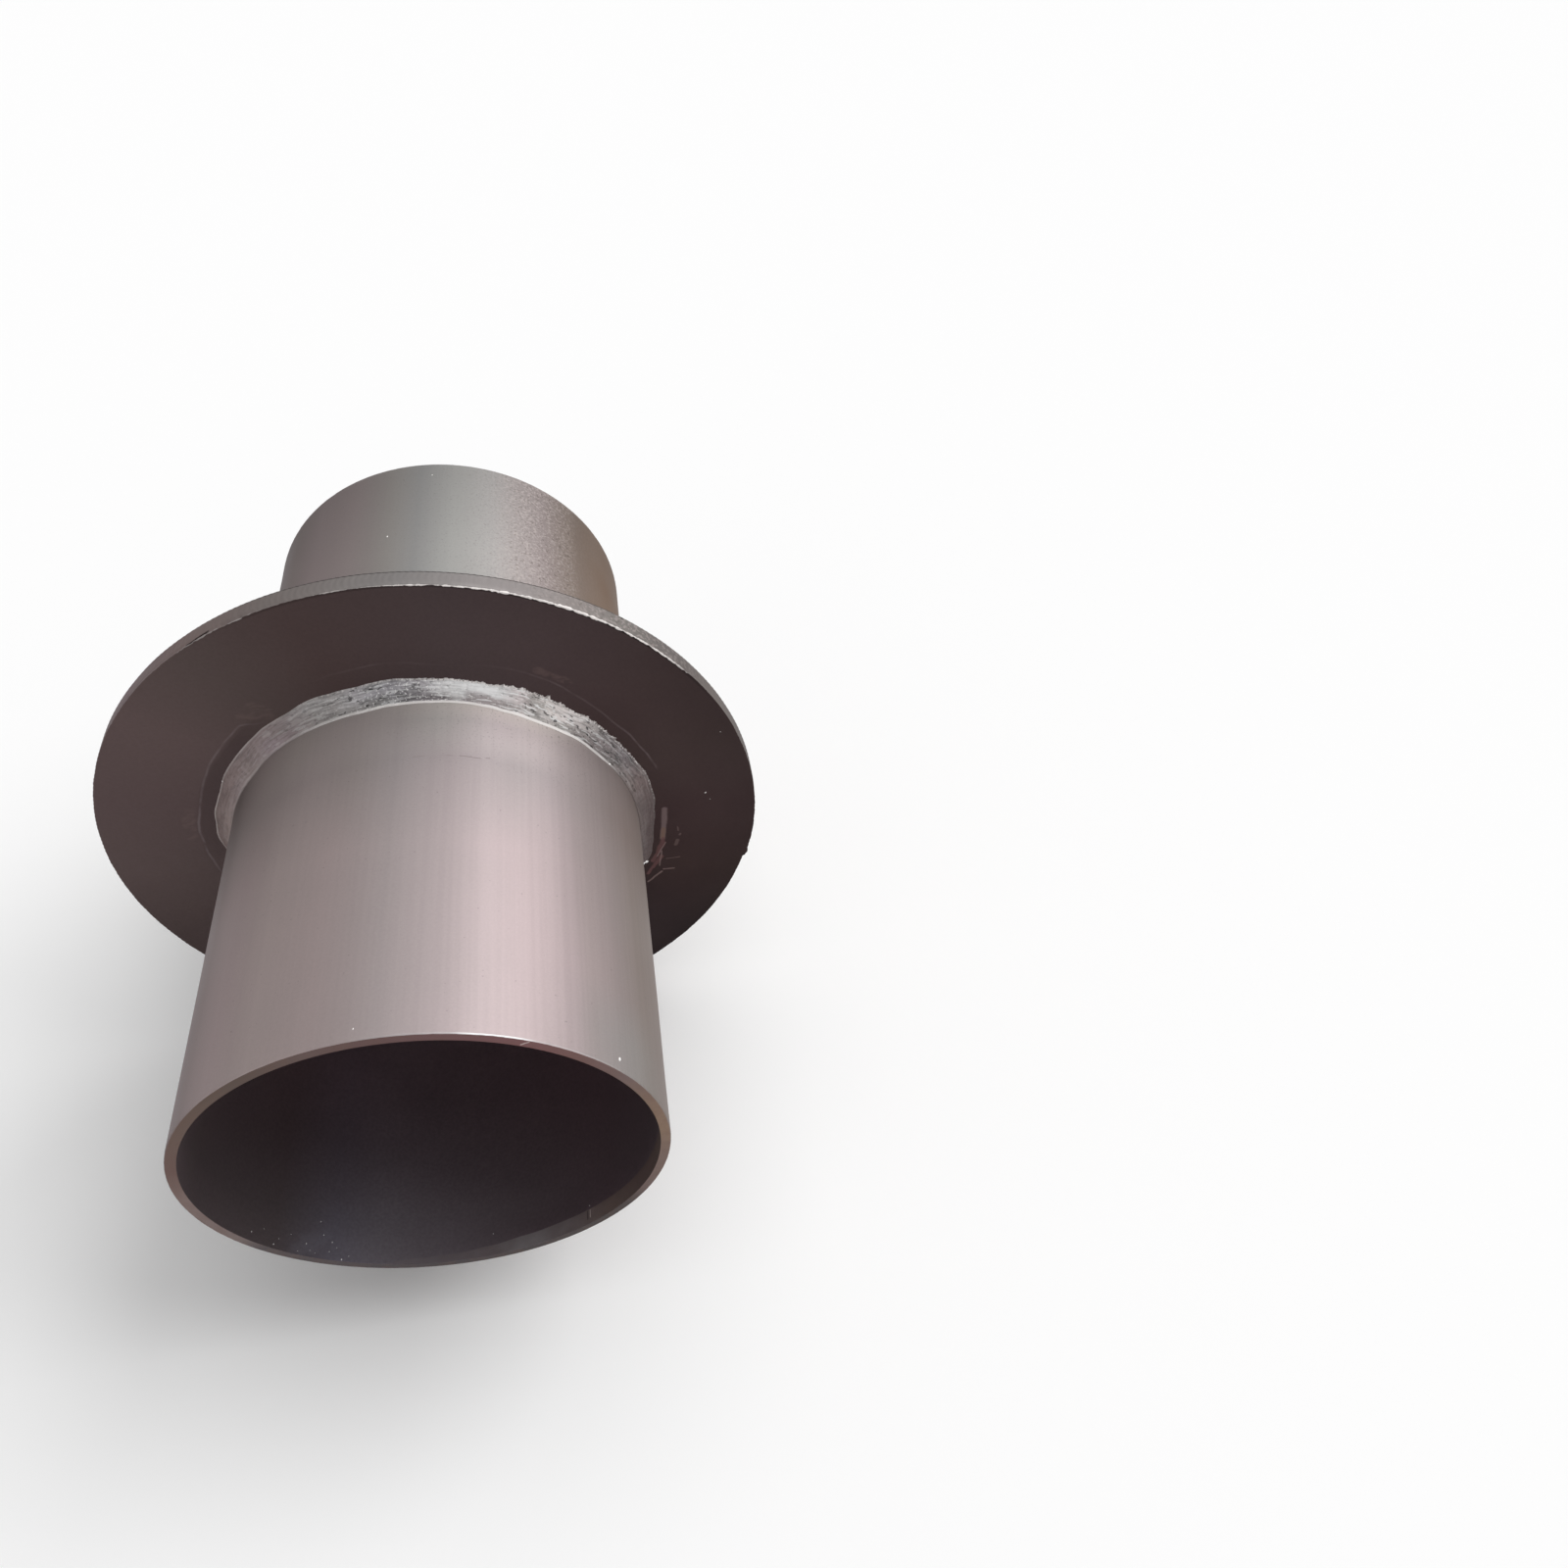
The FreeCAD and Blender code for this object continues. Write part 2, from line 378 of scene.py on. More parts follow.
def rolledPipeSteel():  # satin grey steel with a long highlight down it, partly painted into its colour, pinkish in front of the ring
    material, tree, shader = newMaterial("rolledPipeSteel")
    place, turn, along, _ = placesRound(tree)
    # Tones round the pipe for zones along it, with painted highlight on the side the lamps light and
    # painted shade on the far side and near the ring.
    nearRingLitShaded = byTurn(tree, turn, {
        190: "746866", 165: "7a6d6b", 145: "6f6361", 130: "ab9d9b", 118: "bdb2ae", 105: "bcb1af",
        90: "aca4a2", 80: "bab5b2", 65: "c6babb", 50: "d2c5c4", 40: "c6b8b7", 30: "a99c9a", 12: "92827d",
        -20: "857a75",
    })
    midwayLitShaded = byTurn(tree, turn, {
        190: "746869", 165: "776b6c", 142: "7d7271", 130: "a09492", 112: "b2a5a4", 100: "aaa09e",
        90: "a19999", 76: "aea3a4", 60: "aca3a3", 50: "beb2b3", 46: "c3b6b6", 41: "c0b3b2", 30: "9d8f8c",
        20: "8f7f7a", 8: "85766f", -20: "857973",
    })
    front = byTurn(tree, turn, {
        190: "756869", 165: "7d6e71", 142: "897979", 130: "a99898", 118: "c2b2b0", 104: "c4b3b2",
        90: "b2a6a6", 78: "bcaeaf", 62: "c1b1b2", 56: "c5b4b5", 50: "d2c0c1", 46: "d0bebf", 41: "c1b1b0",
        36: "ae9f9e", 30: "9d908e", 20: "8c7f79", -20: "877a76",
    })
    # The stub behind the ring, with painted highlight and shade the same way and brown rust low on the
    # right.
    behindLitShaded = byTurn(tree, turn, {
        170: "7c706d", 148: "84797a", 138: "8c7f7d", 125: "aa9b9b", 110: "b0a3a2", 98: "a8a39f",
        90: "a09f9e", 79: "b2b1ae", 68: "adaaa8", 60: "a9a19f", 50: "a29694", 40: "9b8c83", 30: "8e7a6c",
        20: "846c5a", -20: "84756b",
    })
    isBehind = inBand(tree, along, -2 * mm, 2 * mm)
    colour = layOver(tree, nearRingLitShaded, midwayLitShaded, inBand(tree, along, -18 * mm, -42 * mm))
    colour = layOver(tree, colour, front, inBand(tree, along, -42 * mm, -85 * mm))
    # Painted highlight: a paler band on the lit side just in front of the weld.
    paintedLightBesideWeld = byTurn(tree, turn, {102: 0.0, 88: 0.3, 70: 0.8, 56: 1.0, 45: 0.6, 34: 0.0})
    colour = layOver(tree, colour, "f2e8e0", 0.5, inBand(tree, along, -20 * mm, -13 * mm, paintedLightBesideWeld))
    colour = layOver(tree, colour, behindLitShaded, isBehind)
    # Painted shade: darker towards the rear end.
    shadeTowardRearEnd = inBand(tree, along, 95 * mm, 160 * mm, 0.8)
    colour = layOver(tree, colour, "e0e0e0", shadeTowardRearEnd, blend="MULTIPLY")
    cooler = byTurn(tree, turn, {58: 0.0, 46: 0.3, 38: 0.9, 26: 1.0, 18: 0.5, 10: 0.0})
    colour = layOver(tree, colour, "9a9f9c", 0.35, inBand(tree, along, -132 * mm, -154 * mm, cooler))

    clouds = patches(tree, place, 60, 0.35, 0.65)
    colour = layOver(tree, colour, "9f9a98", 0.14, clouds)
    streaks = patches(tree, place, 1.8, 0.40, 0.60, 3.0, (1, 0.012, 1))
    drawn = byTurn(tree, turn, {170: 0.3, 130: 0.4, 90: 0.6, 66: 1.0, 20: 1.0, -10: 0.4})
    smoother = addNode(tree, "MapRange", {"Value": isBehind, "To Min": 0.045, "To Max": 0.02}).outputs[0]
    colour = layOver(tree, colour, "6f6462", smoother, drawn, streaks, blend="MULTIPLY")
    fine = patches(tree, place, 0.8, 0.3, 0.7, 2.0)
    colour = layOver(tree, colour, "7c7270", 0.06, fine, blend="MULTIPLY")
    specks = patches(tree, place, 1.2, 0.84, 0.86, 0.0)
    colour = layOver(tree, colour, "5a504e", 0.25, specks)
    grindings = patches(tree, place, 0.9, 0.66, 0.69, 1.0)
    speckled = byTurn(tree, turn, {104: 0.0, 90: 0.3, 74: 0.6, 52: 1.0, 40: 0.8, 28: 0.0})
    towardRing = inBand(tree, along, -62 * mm, -14 * mm, speckled)
    colour = layOver(tree, colour, "63595a", 0.45, grindings, towardRing)

    hairline = scratches(tree, shaken(tree, place, 6, 0.1), [
        ((86, 90, -41.6), (76, 90, -40.9), 0.2),
        ((74.5, 90, -40.7), (69.5, 90, -41.1), 0.4),
        ((68.0, 90, -40.4), (67.2, 90, -40.2), 0.5),
    ])
    colour = layOver(tree, colour, "5f5553", 0.33, hairline)
    dustZone = byTurn(tree, turn, {
        78: 0.0, 66: 0.3, 56: 0.9, 44: 1.0, 39: 0.8, 36: 0.15, 24: 0.05, 8: 0.0,
    })
    dusty = inBand(tree, along, -2 * mm, 2 * mm, dustZone)
    paleGrains = patches(tree, place, 1.3, 0.53, 0.58, 2.0)  # coarser than real dust, so that it shows
    colour = layOver(tree, colour, "d6cac6", 0.32, dusty, paleGrains)
    darkGrains = patches(tree, place, 1.4, 0.61, 0.65, 2.0)
    colour = layOver(tree, colour, "5d504b", 0.6, dusty, darkGrains)

    # Painted highlight on the bare burr along the top of the mouth's outer edge: white where the lamps
    # catch it.
    burrAndHighlight = byTurn(tree, turn, {
        96: 0.0, 88: 0.1, 75: 0.25, 71: 1.0, 60: 1.0, 56: 0.25, 44: 0.2, 30: 0.0,
    })
    colour = layOver(tree, colour, "ffffff", inBand(tree, along, -166.95 * mm, -167.15 * mm, burrAndHighlight))

    metal = addNode(tree, "MapRange", {"Value": dusty, "To Min": 0.6, "To Max": 0.45})
    surface = addNode(tree, "Bump", {"Height": fine, "Strength": 0.2, "Distance": 0.02 * mm})
    setInputs(tree, shader, {
        "Base Color": colour,
        "Metallic": metal.outputs[0],
        "Roughness": 0.5,
        "Specular Tint": linear("bcbcbc"),
        "Normal": surface.outputs[0],
    })
    setRollMarks(tree, shader, place)
    return material


def setRollMarks(tree, shader, place):  # marks of the straightening rolls, which draw the highlight out
    axes = addNode(tree, "SeparateXYZ", {"Vector": place})
    back = addNode(tree, "Math", {0: axes.outputs["X"], 1: -1.0}, operation="MULTIPLY")
    tangent = addNode(tree, "CombineXYZ", {"X": axes.outputs["Z"], "Z": back.outputs[0]})
    setInputs(tree, shader, {
        "Tangent": tangent.outputs[0],
        "Anisotropic": 0.8,
        "Anisotropic Rotation": 0.25,
    })


def boreMillScale():  # almost black purple-brown scale with a slight sheen, so the mouth looks dark; a bluish sheen low down and a paler wall deeper in are painted light
    material, tree, shader = newMaterial("boreMillScale")
    place, turn, along, _ = placesRound(tree)
    # Tones round the bore, painted lighter and bluish low on the left as a sheen.
    boreToneAndSheen = byTurn(tree, turn, {
        245: "6c676e", 232: "64606a", 215: "504849", 180: "524849", 90: "8a787d", 20: "60545a",
        -20: "524549", -45: "5a4b50", -75: "655a5f",
    })
    # Painted light: paler deeper in the bore.
    colour = layOver(tree, boreToneAndSheen, "a88890", inBand(tree, along, -150 * mm, -60 * mm, 0.42))
    clouds = patches(tree, place, 60, 0.35, 0.65)
    colour = layOver(tree, colour, "524a4e", 0.3, clouds)
    fine = patches(tree, place, 1.2, 0.3, 0.7)
    colour = layOver(tree, colour, "6c6064", 0.2, fine, blend="MULTIPLY")
    shaded = byTurn(tree, turn, {
        245: 0.0, 262: 0.3, -88: 0.6, -80: 0.7, -70: 1.0, -60: 0.8, -48: 0.3, -30: 0.1, -10: 0.0,
    })
    besideTaper = inBand(tree, along, -148 * mm, -159 * mm, shaded)
    colour = layOver(tree, colour, "dedcdd", besideTaper, blend="MULTIPLY")
    # Painted sheen: a faint bluish patch low on the left near the mouth.
    paintedSheen = scratches(tree, shaken(tree, place, 8, 3.0), [((228, 86, -158), (222, 86, -166), 6.0)])
    colour = layOver(tree, colour, "7d7c88", 0.12, paintedSheen)
    setInputs(tree, shader, {"Base Color": colour, "Roughness": 0.42, "Specular IOR Level": 0.3})
    return material


def filedTaper():  # the filed band inside the mouth, a shade lighter and browner than the bore
    material, tree, shader = newMaterial("filedTaper")
    place, turn, *_ = placesRound(tree)
    colour = byTurn(tree, turn, {
        262: "625b60", 240: "6c666c", -86: "675e61", -75: "7a7577", -60: "706667", -45: "6c5c57",
        -30: "604f4b", -15: "5e4e49", 5: "70605a",
    })
    clouds = patches(tree, place, 9, 0.35, 0.65, 3.0)
    colour = layOver(tree, colour, "574b49", 0.35, clouds)
    darkNick = scratches(tree, place, [((-53.8, 86.2, -162.2), (-54.0, 86.4, -165.3), 0.45)])
    colour = layOver(tree, colour, "231c1c", 0.6, darkNick)
    paleNick = scratches(tree, place, [((-52.8, 86.2, -162.1), (-53.0, 86.4, -165.0), 0.35)])
    colour = layOver(tree, colour, "b8aaa6", 0.8, paleNick)
    setInputs(tree, shader, {"Base Color": colour, "Roughness": 0.5, "Specular IOR Level": 0.3})
    return material


def sawnPipeEnd():  # thin brown rust on the square-cut ends, darker along the bottom
    material, tree, shader = newMaterial("sawnPipeEnd")
    place, turn, *_ = placesRound(tree)
    colour = byTurn(tree, turn, {
        204: "7c6b68", 212: "50474a", 262: "443c3f", -45: "423837", -36: "4c3e3c", -30: "6f5a55",
        -12: "806960", 2: "8e725d", 15: "8a6f5d", 30: "765f5b", 45: "785450", 60: "7d5052", 75: "714d4e",
        92: "674a48", 105: "66504c", 120: "5a4840", 135: "614d42", 150: "6a5349", 165: "6c4f48",
        180: "826d68",
    })
    rust = patches(tree, place, 5, 0.4, 0.65, 4.0)
    colour = layOver(tree, colour, "6a4e42", 0.25, rust)
    nick = scratches(tree, shaken(tree, place, 2, 0.15), [
        ((58.9, 86.9, -167.5), (57.7, 89.0, -167.5), 0.4),
    ])
    colour = layOver(tree, colour, "d8c8c4", 0.75, nick)
    setInputs(tree, shader, {"Base Color": colour, "Roughness": 0.6, "Specular IOR Level": 0.3})
    return material


def paleGrit():  # loose grains of lime and sand that show as white specks
    material, tree, shader = newMaterial("paleGrit")
    setInputs(tree, shader, {"Base Color": linear("fbf9f6"), "Roughness": 0.7})
    return material


# Pipe

pipeShape = {
    "steps": 720,
    "edgeBreak": 0.25,
    "taperRow": 5.7,  # depth of the row of corners that is moved to the taper's inner end
    "outOfRound": 0.15,
    "raggedEdge": 0.15,
    "mouthBurr": 0.2,
}
taperStations = (  # angle, how far the filed taper reaches into the bore, how much it opens the mouth
    (-180, 0.6, 0.0), (-116, 0.6, 0.0), (-105, 2.3, 0.1), (-95, 3.1, 0.2), (-85, 4.1, 0.35),
    (-75, 5.2, 0.45), (-60, 5.8, 0.5), (-40, 6.0, 0.5), (-25, 6.5, 0.48), (-15, 7.0, 0.25),
    (-8, 7.4, 0.06), (2, 7.4, 0.0), (40, 0.6, 0.0), (180, 0.6, 0.0),
)
gritInBore = (  # angle, place along the bore, size
    (214.6, -165.7, 0.6), (224.3, -162.3, 0.6), (234.6, -166.6, 0.7), (227.8, -152.2, 0.5),
    (207.1, -163.9, 0.5), (219.5, -160.0, 0.35), (231.0, -164.0, 0.4), (216.0, -163.0, 0.35),
    (229.0, -157.5, 0.5), (231.6, -160.0, 0.5), (222.0, -166.0, 0.35), (236.5, -165.0, 0.35),
    (211.0, -161.0, 0.3), (225.5, -164.8, 0.3), (233.0, -162.0, 0.3), (227.0, -165.5, 0.3),
    (307.1, -160.2, 0.4), (276.0, -158.5, 0.4),
)
gritOnPipe = ((32.9, -162.8, 1.7), (94.0, -162.9, 0.8), (98.5, 109.1, 1.1), (86.3, 157.7, 0.9))


def makePipe(shape):
    materials = [rolledPipeSteel(), boreMillScale(), sawnPipeEnd(), paleGrit(), filedTaper()]
    scale, sawn, grit, filed = 1, 2, 3, 4  # their places in the list
    edge = shape["edgeBreak"]
    places = [0.9, 1.6, 2.6, shape["taperRow"], 10] + [18 + 14.95 * i for i in range(11)]
    along = sorted([p - pipeEnd for p in places] + [0] + [pipeEnd - p for p in places])
    outer = [(pipeRadius - edge, -pipeEnd), (pipeRadius, -pipeEnd + edge)]
    outer += [(pipeRadius, y) for y in along[:-1]]
    outer += [(pipeRadius, pipeEnd - edge), (pipeRadius - edge, pipeEnd)]
    inner = [(boreRadius + edge, pipeEnd)]
    inner += [(boreRadius, y) for y in reversed(along)]
    inner += [(boreRadius, -pipeEnd)]
    mesh = spinSection(outer + inner, shape["steps"])
    for vertex in mesh.verts:
        point = vertex.co / mm
        angle, radius = angleOf(point), math.hypot(point.x, point.z)
        depth = point.y + pipeEnd
        toEnd = min(depth, pipeEnd - point.y)
        if radius > pipeRadius - 1:
            radius -= shape["outOfRound"] * (0.5 + 0.5 * noise.noise(point / 35)) * ease(toEnd, 0, 12)
            ragged = shape["raggedEdge"] * (0.5 + 0.5 * noise.noise(point / 1.8))
            radius -= ragged * (1 - ease(toEnd, 0.3, 1.2))
            if depth < 0.8:
                uneven = 0.6 + 0.8 * noise.noise(point / 2.5)
                radius += shape["mouthBurr"] * bump(angle, 66, 26) * uneven
            vertex.co = polar(angle, radius, point.y) * mm
        elif depth < shape["taperRow"] + 0.1:
            share = depth / shape["taperRow"]
            reach, rise = atStation(taperStations, (angle + 180) % 360 - 180)
            vertex.co = polar(angle, boreRadius + rise * (1 - share), reach * share - pipeEnd) * mm
    for face in mesh.faces:
        centre = face.calc_center_median() / mm
        radius = math.hypot(centre.x, centre.z)
        if abs(face.normal.y) > 0.9:
            face.material_index = sawn
        elif radius < boreRadius + 0.6 and abs(centre.y) < pipeEnd - 0.1:
            face.material_index = filed if radius > boreRadius + 0.01 else scale
    for angle, y, size in gritInBore:
        place, inward = polar(angle, boreRadius, y), -polar(angle, 1, 0)
        addDrop(mesh, place, inward, Vector((0.3, 1, 0.2)), size * Vector((1, 0.7, 0.6)), grit)
    for angle, y, size in gritOnPipe:
        place, outward = polar(angle, pipeRadius - 0.1, y), polar(angle, 1, 0)
        addDrop(mesh, place, outward, Vector((0.2, 1, 0)), size * Vector((1, 0.6, 0.5)), grit)
    return finishPiece(mesh, "sleevePipe", materials, "pipe_steel", "sleeve_tube")


# Ring materials

def frontLipAndGlint(tree, place, turn):  # where the melted lip of the ring's front edge lies, as 0 to 1; the lip is painted near white as its highlight
    fromEdge = addNode(tree, "Attribute", attribute_name="fromFrontEdge").outputs["Fac"]
    width = byTurn(tree, turn, {
        165: 0.0, 150: 0.15, 134: 0.1, 122: 0.2, 118: 0.5, 115: 0.4, 113.5: 0.1, 111: 0.35, 107: 0.15,
        98: 0.15, 96: 0.4, 93: 0.15, 87: 0.3, 84.5: 0.6, 83: 0.55, 82: 0.25, 80.5: 0.25, 79: 0.5,
        76: 0.4, 73: 0.7, 66: 0.8, 58: 0.9, 52: 0.75, 46: 0.55, 37: 0.55, 35.5: 0.1, 20: 0.1, -10: 0.0,
    })
    ragged = patches(tree, place, 2.0, 0.34, 0.62, 3.0, (1, 0.3, 1))
    reach = addNode(tree, "Math", {0: ragged, 1: 0.9, 2: 0.45}, operation="MULTIPLY_ADD").outputs[0]
    spare = addNode(tree, "Math", {0: width, 1: reach}, operation="MULTIPLY").outputs[0]
    over = addNode(tree, "Math", {0: spare, 1: fromEdge}, operation="SUBTRACT").outputs[0]
    # How strongly the lip's painted highlight shows, most where the lamps fall.
    clear = byTurn(tree, turn, {
        150: 0.15, 122: 0.2, 117: 0.3, 110: 0.35, 104: 0.3, 96: 0.5, 89: 0.5, 85: 0.95, 81: 0.8, 78: 1.0,
        60: 1.0, 40: 0.9, 35.5: 0.3, 20: 0.2, -10: 0.0,
    })
    return inBand(tree, over, -0.05, 0.1, clear)


def plateMillScale():  # flat dark brown-grey scale, with a faint halo round the weld and rubbed marks
    material, tree, shader = newMaterial("plateMillScale")
    place, turn, _, away = placesRound(tree)
    # Tones round the face, painted lighter on the left and darker to the lower right as light and shade.
    colour = byTurn(tree, turn, {
        225: "524343", 200: "5a4b4a", 180: "685857", 160: "6c5a5a", 140: "736160", 122: "665856",
        104: "5c4c4b", 80: "5a4d4e", 60: "584a4b", 40: "504141", 20: "4d3e3d", 0: "463435", -20: "3e2d2c",
        -40: "332527", -80: "352829",
    })
    # Painted shade: darker toward the rim, most on the right.
    shadeTowardRim = byTurn(tree, turn, {
        200: 0.3, 180: 0.0, 130: 0.1, 100: 0.3, 60: 0.4, 20: 0.6, -10: 0.5, -40: 0.7, -80: 0.7,
    })
    toRim = inBand(tree, away, 118 * mm, 143 * mm, shadeTowardRim)
    colour = layOver(tree, colour, "a8a3a3", 0.7, toRim, blend="MULTIPLY")
    clouds = patches(tree, place, 45, 0.35, 0.65, 3.0)
    colour = layOver(tree, colour, "6a5c5a", 0.08, clouds)
    fine = patches(tree, place, 1.0, 0.3, 0.7)
    colour = layOver(tree, colour, "7a6c6a", 0.08, fine, blend="MULTIPLY")

    moved = shaken(tree, place, 12, 0.4)
    wavering = addNode(tree, "SeparateXYZ", {"Vector": moved})
    flat = addNode(tree, "CombineXYZ", {"X": wavering.outputs["X"], "Y": wavering.outputs["Z"]})
    ringAway = addNode(tree, "VectorMath", {0: flat.outputs[0]}, operation="LENGTH").outputs["Value"]
    tinted = byTurn(tree, turn, {188: 0.0, 176: 0.6, 150: 1.0, 133: 1.0, 127: 0.5, 122: 0.0})
    insideHalo = inBand(tree, ringAway, 105.4 * mm, 103.0 * mm, tinted)
    colour = layOver(tree, colour, "45383a", 0.45, insideHalo)
    halo = lineRound(tree, turn, ringAway, [
        (187, 102.0, 0.0), (181, 102.6, 0.6), (175.5, 103.5, 0.8), (168, 104.5, 0.9), (161, 104.2, 0.9),
        (155, 103.8, 0.8), (147, 104.6, 0.7), (141, 105.3, 0.8), (134, 105.4, 0.7), (129, 105.5, 0.8),
        (127, 103.0, 0.5), (126, 100.5, 0.0), (108, 106.1, 0.0), (92, 107.4, 0.3), (78, 104.4, 0.0),
        (66, 107.5, 0.1), (57, 107.1, 0.35), (50, 106.0, 0.4), (44, 104.7, 0.25), (34, 103.9, 0.4),
        (24, 104.5, 0.7), (18, 104.7, 0.6), (15.5, 104.8, 0.0),
    ], 0.75)
    patchy = patches(tree, place, 8, 0.30, 0.55, 3.0)
    colour = layOver(tree, colour, "95878a", 0.5, halo, patchy)

    bar = scratches(tree, shaken(tree, place, 5, 0.12), [
        ((0.5, 102.2, -4.5), (-5, 101.7, -4.5), 1.9),
        ((-5, 101.7, -4.5), (-11.2, 101.7, -4.5), 1.7),
    ])
    colour = layOver(tree, colour, "816e6e", 0.8, bar)
    brown = scratches(tree, shaken(tree, place, 5, 0.15), [
        ((-7.5, 101.6, -4.5), (-10.8, 101.6, -4.5), 1.5),
    ])
    colour = layOver(tree, colour, "806557", 0.7, brown)
    reddish = scratches(tree, shaken(tree, place, 4, 0.35), [
        ((-11.4, 101.9, -4.5), (-13.8, 102.6, -4.5), 1.4),
        ((-12.9, 102.4, -4.5), (-16.8, 101.5, -4.5), 1.8),
        ((-16.8, 101.5, -4.5), (-21.0, 100.6, -4.5), 1.5),
        ((-18.7, 103.7, -4.5), (-23.7, 102.0, -4.5), 1.5),
        ((-23.7, 102.0, -4.5), (-26.5, 101.5, -4.5), 1.2),
    ])
    colour = layOver(tree, colour, "704f4f", 0.75, reddish)
    lines = scratches(tree, shaken(tree, place, 6, 0.2), [
        ((-24.7, 107.5, -4.5), (-29.9, 104.2, -4.5), 0.7),
        ((-23.7, 107.7, -4.5), (-22.8, 112.6, -4.5), 0.55),
        ((-16.5, 103.0, -4.5), (-22.5, 104.8, -4.5), 0.5),
        ((-13.0, 103.6, -4.5), (-19.0, 101.6, -4.5), 0.45),
    ])
    colour = layOver(tree, colour, "8f7976", 0.6, lines)
    faint = scratches(tree, shaken(tree, place, 6, 0.3), [
        ((-19.4, 106.8, -4.5), (-18.3, 112.8, -4.5), 0.45),
        ((-12.0, 109.3, -4.5), (-13.6, 109.0, -4.5), 1.3),
        ((-9.4, 109.9, -4.5), (-9.8, 109.7, -4.5), 0.8),
        ((-6.8, 108.2, -4.5), (-8.2, 108.7, -4.5), 0.6),
    ])
    colour = layOver(tree, colour, "7b6664", 0.45, faint)
    brushy = patches(tree, shaken(tree, place, 6, 1.5), 4, 0.4, 0.6, 3.0, (0.5, 1, 1.6))
    smears = scratches(tree, shaken(tree, place, 7, 1.2), [
        ((60, 110.5, -4.5), (52, 110, -4.5), 2.4),
        ((126.5, 109.5, -4.5), (122.5, 102.0, -4.5), 3.0),
        ((123.5, 109.8, -4.5), (120.5, 105.0, -4.5), 2.5),
        ((170, 108, -4.5), (162, 109, -4.5), 3.5),
    ])
    colour = layOver(tree, colour, "917a75", 0.2, smears, brushy)

    # Painted shadow: a thin dark line just inside the front edge, under the overhanging burr.
    shadowUnderBurr = byTurn(tree, turn, {120: 0.0, 108: 0.3, 78: 0.4, 60: 0.9, 40: 0.7, 25: 0.0})
    colour = layOver(tree, colour, "1c1515", inBand(tree, away, 144.0 * mm, 144.6 * mm, shadowUnderBurr))
    # Painted highlight: the front edge's melted lip in near white.
    colour = layOver(tree, colour, "fdf7f4", frontLipAndGlint(tree, place, turn))

    surface = addNode(tree, "Bump", {"Height": fine, "Strength": 0.3, "Distance": 0.03 * mm})
    setInputs(tree, shader, {
        "Base Color": colour,
        "Roughness": 0.5,
        "Specular IOR Level": 0.06,
        "Normal": surface.outputs[0],
    })
    return material


def flameCutRim():  # light grey oxidised cut with fine drag lines across the plate's thickness
    material, tree, shader = newMaterial("flameCutRim")
    place, turn, along, _ = placesRound(tree)
    # Tones round the rim, painted lighter where the lamps fall on top and darker on its sides.
    colour = byTurn(tree, turn, {
        175: "7a6a6b", 150: "7a686a", 135: "806c6f", 120: "867471", 108: "837976", 95: "888280",
        86: "898584", 75: "9f9998", 68: "a19a99", 58: "978f8c", 50: "85807c", 40: "726b69", 28: "706763",
        10: "625a58", -40: "605755",
    })
    lines = patches(tree, place, 1.8, 0.35, 0.65, 2.0, (1, 0.15, 1))
    colour = layOver(tree, colour, "6b615e", 0.08, lines, blend="MULTIPLY")
    clouds = patches(tree, place, 14, 0.4, 0.6, 3.0)
    colour = layOver(tree, colour, "84807d", 0.12, clouds)
    dustZone = byTurn(tree, turn, {72: 0.0, 62: 0.5, 50: 1.0, 40: 0.6, 30: 0.0})
    paleGrains = patches(tree, place, 1.5, 0.53, 0.58, 2.0)
    colour = layOver(tree, colour, "c2b5b2", 0.4, dustZone, paleGrains)
    darkGrains = patches(tree, place, 1.7, 0.59, 0.63, 2.0)
    colour = layOver(tree, colour, "5d504b", 0.4, dustZone, darkGrains)

    # Painted shade: a thin dark line along the rear round-over, where the rim meets the pipe behind it.
    rearEdgeShadow = byTurn(tree, turn, {136: 0.0, 122: 0.6, 90: 0.95, 55: 0.9, 51.5: 0.8, 50.5: 0.0})
    colour = layOver(tree, colour, "2b2624", inBand(tree, along, 3.4 * mm, 3.75 * mm, rearEdgeShadow))
    crack = scratches(tree, shaken(tree, place, 3, 0.1), [
        ((120.2, 144.9, -4.1), (118.4, 144.7, -3.7), 0.8),
        ((118.4, 144.7, -3.7), (116.0, 144.8, -3.1), 1.0),
        ((50.8, 145.5, 3.6), (50.0, 145.5, 3.2), 0.4),
    ])
    # Painted highlight: the melted lip along the front edge in near white.
    colour = layOver(tree, colour, "fdf7f4", frontLipAndGlint(tree, place, turn))
    # The crack, and a short dark mark near the rear edge, painted near black as their shade.
    colour = layOver(tree, colour, "231c1a", crack)
    setInputs(tree, shader, {
        "Base Color": colour,
        "Metallic": 0.45,
        "Roughness": 0.55,
        "Specular Tint": linear("bcbcbc"),
    })
    return material


# Ring

plateShape = {
    "steps": 1440,
    "cutStart": -16.0,
    "cutStep": 1.0,
    "cutSweep": 54.0,
    "scallop": 0.28,
    "dragLine": 0.05,
    "burr": 0.35,
    "crack": (116.0, 120.0, 0.7),  # from, to, depth
    "cutBump": (-14.8, 1.1, 0.6),  # angle, half its width in degrees, height
    "frontSteps": (  # depth, from, full from, full to, to
        (0.35, 109.7, 110.0, 113.7, 114.2),
        (-0.25, 15.0, 24.0, 35.7, 36.0),
    ),
    "unevenFrom": 139.0,  # radius inside which the plate is left round and flat
}
gritOnRing = ((4.3, 122.3, 1.0), (2.0, 124.0, 0.4), (20.2, 139.0, 0.45))  # angle, radius, size


